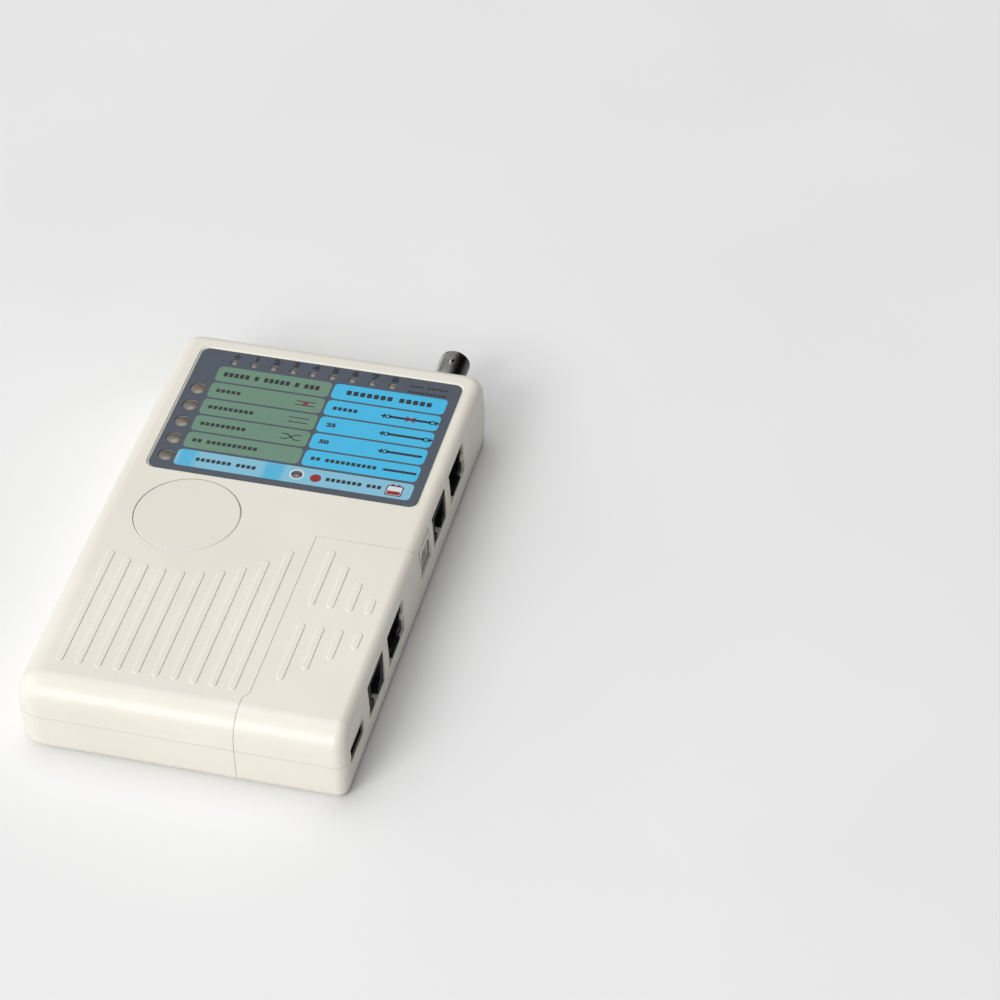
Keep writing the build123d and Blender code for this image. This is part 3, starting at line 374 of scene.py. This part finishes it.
def battery_wrap():
    """Dark printed battery can with a copper-coloured end."""
    finish = Finish("battery_wrap", Metallic=0.6)
    split = finish.add("ShaderNodeSeparateXYZ", {0: finish.place})
    low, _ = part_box("battery_9v")
    band = finish.spread(split.outputs[0], 0, 1, low.x + 12 * MM, low.x + 12.4 * MM)
    wrap = finish.blend(band, (0.50, 0.24, 0.09), (0.02, 0.025, 0.035))
    finish.colour(finish.blend(finish.spread(finish.noise(300, 3), 0, 0.25), wrap, (0.06, 0.05, 0.05)))
    finish.roughness(finish.spread(finish.noise(220, 3), 0.28, 0.42))
    return finish.bump((finish.noise(1500, 2), 0.2, 0.02))


def lead_insulation():
    """Soft red insulation."""
    finish = Finish("lead_insulation")
    shade = finish.spread(finish.noise(350, 3), 0, 1)
    finish.colour(finish.blend(shade, (0.32, 0.02, 0.015), (0.42, 0.03, 0.02)))
    finish.roughness(finish.spread(finish.noise(600, 2), 0.45, 0.6))
    return finish.bump((finish.noise(1200, 2), 0.3, 0.04))


def foam():
    """Closed-cell foam pad."""
    finish = Finish("foam")
    cells = finish.add("ShaderNodeTexVoronoi", {"Vector": finish.place, "Scale": 1100.0}).outputs[0]
    finish.colour(finish.blend(cells, (0.05, 0.05, 0.055), (0.12, 0.12, 0.13)))
    finish.roughness(finish.spread(cells, 0.8, 0.95, 0, 1))
    return finish.bump((cells, 0.7, 0.3))


# ============================================================ flat printed shapes
label_low, label_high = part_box("label_overlay")


def on_label(x, y):
    """A point of the label, from millimetres right of and above its lower left corner."""
    return Vector((label_low.x + x * MM, label_low.y + y * MM))


def rounded_bar(x0, y0, x1, y1, r, steps=6):
    """Outline of a rectangle with round corners, in label millimetres."""
    points = []
    for cx, cy, turn in ((x1 - r, y1 - r, 0), (x0 + r, y1 - r, 1), (x0 + r, y0 + r, 2), (x1 - r, y0 + r, 3)):
        for k in range(steps + 1):
            a = math.pi / 2 * (turn + k / steps)
            points.append((cx + r * math.cos(a), cy + r * math.sin(a)))
    return points


def disc(x, y, r, steps=32):
    """Outline of a round dot."""
    turns = [2 * math.pi * k / steps for k in range(steps)]
    return [(x + r * math.cos(a), y + r * math.sin(a)) for a in turns]


def stroke(x0, y0, x1, y1, w):
    """Outline of a straight stroke with round ends."""
    a = math.atan2(y1 - y0, x1 - x0)
    ends = ((x1, y1, a - math.pi / 2), (x0, y0, a + math.pi / 2))
    steps = 6
    return [(x + w / 2 * math.cos(b + math.pi * k / steps), y + w / 2 * math.sin(b + math.pi * k / steps))
            for x, y, b in ends for k in range(steps + 1)]


def ring(x, y, r, w, steps=32):
    """Round line as a chain of short quadrilaterals."""
    def at(radius, k):
        a = 2 * math.pi * k / steps
        return x + radius * math.cos(a), y + radius * math.sin(a)
    low, high = r - w / 2, r + w / 2
    return [[at(low, k), at(high, k), at(high, k + 1), at(low, k + 1)] for k in range(steps)]


def path_strokes(points, w):
    """Strokes from point to point."""
    return [stroke(*a, *b, w) for a, b in zip(points, points[1:])]


def cross(x, y, size, w):
    """Two crossed strokes."""
    h = size / 2
    rise = h * 0.8
    return [stroke(x - h, y - side * rise, x + h, y + side * rise, w) for side in (1, -1)]


def letters(x, y, groups, pitch, height):
    """Plain blocks in the rhythm of words, centred on the line y, starting at x."""
    blocks = []
    for count in groups:
        for _ in range(count):
            w = pitch * BLOCK_SHARE
            blocks.append(rounded_bar(x, y - height / 2, x + w, y + height / 2, height * BLOCK_CORNER, 3))
            x += pitch
        x += pitch * WORD_GAP
    return blocks


def pierced_bar(x0, y0, x1, y1, r, hole):
    """Rounded bar round a hole (x, y, radius), as two outlines that meet level with the hole's middle."""
    hx, hy, hr = hole
    corners = rounded_bar(x0, y0, x1, y1, r)
    half = len(corners) // 2
    steps = 16
    turns = [math.pi * k / steps for k in range(steps + 1)]
    arch = [(hx + hr * math.cos(a), hy + hr * math.sin(a)) for a in turns]
    upper = [(x1, hy)] + corners[:half] + [(x0, hy)] + arch[::-1]
    lower = [(x0, hy)] + corners[half:] + [(x1, hy)] + [(x, 2 * hy - y) for x, y in arch]
    return [upper, lower]


def printed(name, outlines, thickness, finish):
    """One printed layer: every outline as a thin solid on the label's face."""
    vertices, faces = [], []
    z0, z1 = label_high.z - PRINT_SINK * MM, label_high.z + thickness * MM
    for outline in outlines:
        n, base = len(outline), len(vertices)
        for z in (z0, z1):
            vertices += [(*on_label(x, y), z) for x, y in outline]
        faces.append(list(range(base + n, base + 2 * n)))
        faces.append(list(range(base + n - 1, base - 1, -1)))
        for k in range(n):
            after = (k + 1) % n
            faces.append((base + k, base + after, base + n + after, base + n + k))
    mesh = bpy.data.meshes.new(name)
    mesh.from_pydata(vertices, [], faces)
    mesh.materials.append(finish.material)
    piece = bpy.data.objects.new(name, mesh)
    bpy.context.scene.collection.objects.link(piece)
    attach(piece, "tester")


def numerals(name, marks, finish):
    """Printed numerals as one mesh; each mark is (text, x, y, size)."""
    meshes = []
    for text, x, y, size in marks:
        curve = bpy.data.curves.new(name, "FONT")
        curve.body = text
        curve.align_x = "CENTER"
        curve.align_y = "CENTER"
        curve.size = size * MM
        curve.extrude = MARK_T * MM / 2
        curve.offset = NUMERAL_SWELL * size * MM
        curve.resolution_u = 4
        stand = bpy.data.objects.new(name, curve)
        mesh = bpy.data.meshes.new_from_object(stand)
        place = Matrix.Translation((*on_label(x, y), label_high.z + MARK_T * MM / 2))
        mesh.transform(place @ Matrix.Diagonal((NUMERAL_STRETCH, 1, 1, 1)))
        meshes.append(mesh)
        bpy.data.objects.remove(stand)
        bpy.data.curves.remove(curve)
    pieces = []
    for mesh in meshes:
        piece = bpy.data.objects.new(name, mesh)
        bpy.context.scene.collection.objects.link(piece)
        pieces.append(piece)
    with bpy.context.temp_override(active_object=pieces[0], selected_editable_objects=pieces):
        bpy.ops.object.join()
    piece = pieces[0]
    piece.data.materials.clear()
    piece.data.materials.append(finish.material)
    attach(piece, "tester")


def row_y(k):
    """Lower edge of the k-th bar from the bottom of the table."""
    return FIRST_ROW_Y + k * ROW_PITCH


def row_middle(k):
    """Middle line of the k-th bar from the bottom of the table."""
    return row_y(k) + BAR_H / 2


def lamp_centre(node, index, count):
    """Place of one lamp in a straight row, in label millimetres."""
    low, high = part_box(node)
    size = min(high.x - low.x, high.y - low.y)
    first = Vector((low.x + size / 2, low.y + size / 2))
    last = Vector((high.x - size / 2, high.y - size / 2))
    place = first.lerp(last, index / max(count - 1, 1))
    return (place.x - label_low.x) / MM, (place.y - label_low.y) / MM


def plug_mark(x, y, side):
    """Small coaxial plug pictogram at the end of a cable mark."""
    marks = ring(x, y, PLUG_RING_R, PLUG_W, 20)
    marks += [stroke(x - side * 1.3, y - 0.85, x - side * 1.3, y + 0.85, PLUG_W)]
    return marks + [stroke(x - side * 1.9, y, x - side * 1.2, y, 0.7)]


def cable_mark(k, x0, x1, plugs):
    """Cable pictogram in a blue row, with a plug at neither end, the left end or both."""
    y = row_middle(k)
    marks = [stroke(x0, y, x1, y, CABLE_W)]
    if plugs >= 1:
        marks += plug_mark(x0 - 0.8, y, 1)
    else:
        marks += ring(x0 - 0.5, y, 0.35, 0.18, 12)
    if plugs == 2:
        return marks + plug_mark(x1 + 0.8, y, -1)
    return marks + ring(x1 + 0.3, y, 0.35, 0.18, 12)


def pair_mark(k, gap):
    """Two level lines in a green row."""
    y = row_middle(k)
    x0, x1 = PAIR_X
    return [stroke(x0, y + side * gap / 2, x1, y + side * gap / 2, PAIR_W) for side in (-1, 1)]


def crossed_pair_mark(k):
    """Two lines that change places in a green row."""
    y = row_middle(k)
    (x0, x3), (x1, x2) = PAIR_X, PAIR_BEND_X
    lines = []
    for side in (-1, 1):
        h = side * CROSSED_PAIR_H
        lines += path_strokes(((x0, y + h), (x1, y + h), (x2, y - h), (x3, y - h)), PAIR_W)
    return lines


def bar_column(span):
    """Outlines of one column of bars between two x places."""
    return [rounded_bar(span[0], row_y(k), span[1], row_y(k) + BAR_H, BAR_R) for k in range(ROW_COUNT)]


def word_marks():
    """Blocks in place of every word of the label."""
    x0, y0, _, y1 = BATTERY_BAR
    battery_y = (y0 + y1) / 2
    green_x, blue_x = GREEN_X[0] + 2.2, BLUE_X[0] + 2.3
    words = letters(green_x, row_middle(4), (5, 1, 5, 1, 3), GREEN_HEADER_PITCH, HEADER_LETTER_H)
    words += letters(BLUE_X[0] + 4.4, row_middle(4), (7, 5), BLUE_HEADER_PITCH, HEADER_LETTER_H)
    green_rows = ((3, (5,)), (2, (9,)), (1, (9,)), (0, (2, 10)))
    blue_rows = ((3, (5,)), (0, (2, 10)))
    lines = [(green_x, row_middle(k), groups) for k, groups in green_rows]
    lines += [(blue_x, row_middle(k), groups) for k, groups in blue_rows]
    lines += [(x0 + 6.2, battery_y, (7, 4)), (x0 + 46.6, battery_y, (7, 3))]
    for x, y, groups in lines:
        words += letters(x, y, groups, LETTER_PITCH, LETTER_H)
    for x, y, groups in ((67.6, 53.4, (3, 5)), (67.2, 50.7, (9,))):
        words += letters(x, y, groups, SMALL_LETTER_PITCH, SMALL_LETTER_H)
    return words


def red_marks():
    """The red dot, the battery pictogram's outline, charge and poles, and two crosses."""
    _, y0, _, y1 = BATTERY_BAR
    battery = rounded_bar(*BATTERY_CASE, 0.5)
    reds = [disc(RED_DOT_X, (y0 + y1) / 2 - RED_DOT_DROP, RED_DOT_R), rounded_bar(*BATTERY_CHARGE, 0.15)]
    reds += path_strokes(battery + battery[:1], 0.32)
    reds += [stroke(x0, BATTERY_POLE_Y, x1, BATTERY_POLE_Y, 0.6) for x0, x1 in BATTERY_POLES_X]
    return reds + cross(38.3, row_middle(3), 2.2, 0.45) + cross(71.4, row_middle(3), 2.8, 0.45)


def label_print():
    """Every printed layer of the label."""
    green = printed_film("green_print", *LABEL_GREEN)
    blue = printed_film("blue_print", *LABEL_BLUE)
    black = printed_film("black_print", *INK_BLACK, 0.42)
    red = printed_film("red_print", *INK_RED)
    white = printed_film("white_print", *INK_WHITE)

    printed("label_green_bars", bar_column(GREEN_X), PRINT_T, green)
    printed("label_blue_bars", bar_column(BLUE_X), PRINT_T, blue)
    x0, y0, x1, y1 = BATTERY_BAR
    bar_finish = battery_bar_film(label_low + Vector((x0, y0, 0)) * MM, label_low + Vector((x1, y1, 0)) * MM)
    sx, sy = lamp_centre("battery_lamp", 0, 1)
    bar = pierced_bar(x0, y0, x1, y1, BAR_R, (sx, sy, LAMP_WINDOW_R))
    printed("label_battery_bar", bar, PRINT_T, bar_finish)
    printed("label_word_marks", word_marks(), MARK_T, black)

    icons = pair_mark(3, 1.7) + pair_mark(2, 2.1) + crossed_pair_mark(1)
    for k, start, end, plugs in CABLES:
        icons += cable_mark(k, start, end, plugs)
    printed("label_pictograms", icons, MARK_T, black)

    printed("label_lamp_ring", ring(sx, sy, LAMP_WINDOW_R + 0.3, LAMP_RING_W), MARK_T, white)
    printed("label_battery_window", [rounded_bar(*BATTERY_WINDOW, 0.3)], MARK_T, white)
    printed("label_red_marks", red_marks(), RED_MARK_T, red)

    marks = []
    for k in range(1, PIN_COUNT):
        x, _ = lamp_centre("pin_lamps", k, PIN_COUNT)
        marks.append((str(k), x, PIN_NUMERAL_Y, PIN_NUMERAL_H))
    marks += [(text, BLUE_X[0] + 4.0, row_middle(k), VALUE_NUMERAL_H) for text, k in (("25", 2), ("50", 1))]
    numerals("label_numerals", marks, black)
    x, _ = lamp_centre("pin_lamps", 0, PIN_COUNT)
    earth = [stroke(x, EARTH_STEM_Y[0], x, EARTH_STEM_Y[1], EARTH_W)]
    earth += [stroke(x - w, y, x + w, y, EARTH_W) for w, y in EARTH_BARS]
    printed("label_earth_mark", earth, MARK_T, black)


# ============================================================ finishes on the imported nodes
def dress(finish, *nodes):
    """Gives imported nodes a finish."""
    for node in nodes:
        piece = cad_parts[node]
        piece.data.materials.clear()
        piece.data.materials.append(finish.material)


def dress_nodes():
    """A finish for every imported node."""
    dress(ivory_plastic(), "top_cover", "bottom_case", "remote_top_cover", "remote_bottom_case",
          "battery_door")
    dress(button_plastic(), "button_cap")
    dress(printed_film("label_film", *LABEL_SLATE), "label_overlay")
    dress(lamp_resin("lamp_resin", STATUS_TINTS), "status_lamps")
    dress(lamp_resin("pin_resin", PIN_TINTS), "pin_lamps")
    dress(lamp_resin("grey_resin", BATTERY_TINTS), "battery_lamp")
    dress(black_plastic(), "switch_body", "switch_plunger", "controller_chip", "driver_chip", "rj45_socket",
          "rj11_socket", "remote_rj45_socket", "remote_rj11_socket", "remote_usb_tongue", "battery_snap")
    dress(white_plastic(), "usb_b_core", "bnc_insulator")
    dress(plated_metal("gold_plate", *GOLD, 0.25), "rj45_contacts", "rj11_contacts", "remote_rj45_contacts",
          "remote_rj11_contacts", "usb_b_contacts", "remote_usb_contacts", "bnc_contact")
    dress(jack_plate(), "bnc_body", "bnc_ring_nut")
    dress(plated_metal("nickel_plate", *NICKEL, 0.22), "usb_b_shell", "battery_terminals")
    dress(tin_plate(), "remote_usb_shell")
    zinc = plated_metal("zinc_plate", *ZINC, 0.32)
    dress(zinc, "case_screws", "board_screws", "remote_screws")
    return_spring(zinc)
    dress(plated_metal("tinned_copper", *TINNED_COPPER, 0.3), "bnc_lead")
    dress(solder_mask(), "main_board", "remote_board")
    dress(banded_lacquer(), "main_resistors", "remote_resistors")
    dress(battery_wrap(), "battery_9v")
    dress(lead_insulation(), "battery_leads")
    dress(foam(), "battery_foam")


def return_spring(finish):
    """The button's coil spring, standing on the board, as a copy of the imported node with its own mesh and
    finish.
    """
    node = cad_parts["button_spring"]
    piece = bpy.data.objects.new("return_spring", node.data.copy())
    bpy.context.scene.collection.objects.link(piece)
    piece.matrix_world = node.matrix_world
    piece.data.materials.clear()
    piece.data.materials.append(finish.material)
    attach(piece, "tester")
    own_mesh(piece)
    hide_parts("button_spring")


# ============================================================ floor, light and camera
def floor():
    """Plain pale floor."""
    h = FLOOR_SIZE / 2
    mesh = bpy.data.meshes.new("floor")
    mesh.from_pydata([(-h, -h, 0), (h, -h, 0), (h, h, 0), (-h, h, 0)], [], [(0, 1, 2, 3)])
    finish = Finish("floor_paper", Roughness=0.9)
    finish.colour(finish.blend(finish.spread(finish.noise(9, 2), 0, 1), *FLOOR_SHADES))
    mesh.materials.append(finish.material)
    piece = bpy.data.objects.new("floor", mesh)
    bpy.context.scene.collection.objects.link(piece)


def softbox(name, place, size, watts):
    """Square area light that faces the tester."""
    light = bpy.data.lights.new(name, "AREA")
    light.size = size
    light.energy = watts
    lamp = bpy.data.objects.new(name, light)
    lamp.location = place
    lamp.rotation_euler = (LIGHT_AIM - Vector(place)).to_track_quat("-Z", "Y").to_euler()
    bpy.context.scene.collection.objects.link(lamp)


def studio():
    """Soft even light, brightest from the front left."""
    world = bpy.data.worlds.new("studio")
    world.use_nodes = True
    nodes, links = world.node_tree.nodes, world.node_tree.links
    direction = nodes.new("ShaderNodeTexCoord").outputs["Generated"]
    dot = nodes.new("ShaderNodeVectorMath")
    dot.operation = "DOT_PRODUCT"
    dot.inputs[1].default_value = SKY_AXIS
    links.new(direction, dot.inputs[0])
    level = nodes.new("ShaderNodeMapRange")
    span = {"From Min": SKY_SPAN[0], "From Max": SKY_SPAN[1], "To Min": SKY_DARK, "To Max": SKY_BRIGHT}
    for socket, value in span.items():
        level.inputs[socket].default_value = value
    links.new(dot.outputs["Value"], level.inputs["Value"])
    links.new(level.outputs[0], nodes["Background"].inputs["Strength"])
    nodes["Background"].inputs["Color"].default_value = (1, 1, 1, 1)
    bpy.context.scene.world = world
    softbox("key", KEY_PLACE, KEY_SIZE, KEY_WATTS)
    softbox("top", TOP_PLACE, TOP_SIZE, TOP_WATTS)
    bpy.context.scene.view_settings.view_transform = "Standard"


def camera():
    """Camera at the photograph's angle, aimed beside the tester."""
    back = Vector((
        math.sin(CAMERA_AZIMUTH) * math.cos(CAMERA_ELEVATION),
        -math.cos(CAMERA_AZIMUTH) * math.cos(CAMERA_ELEVATION),
        math.sin(CAMERA_ELEVATION),
    ))
    data = bpy.data.cameras.new("camera")
    data.lens = CAMERA_LENS
    data.sensor_width = CAMERA_SENSOR
    data.clip_start, data.clip_end = CAMERA_CLIP
    seat = bpy.data.objects.new("camera", data)
    seat.location = AIM + back * CAMERA_DISTANCE
    turn = (-back).to_track_quat("-Z", "Y").to_matrix() @ Matrix.Rotation(CAMERA_ROLL, 3, "Z")
    seat.rotation_euler = turn.to_euler()
    bpy.context.scene.collection.objects.link(seat)
    bpy.context.scene.camera = seat


dress_nodes()
label_print()
floor()
studio()
camera()
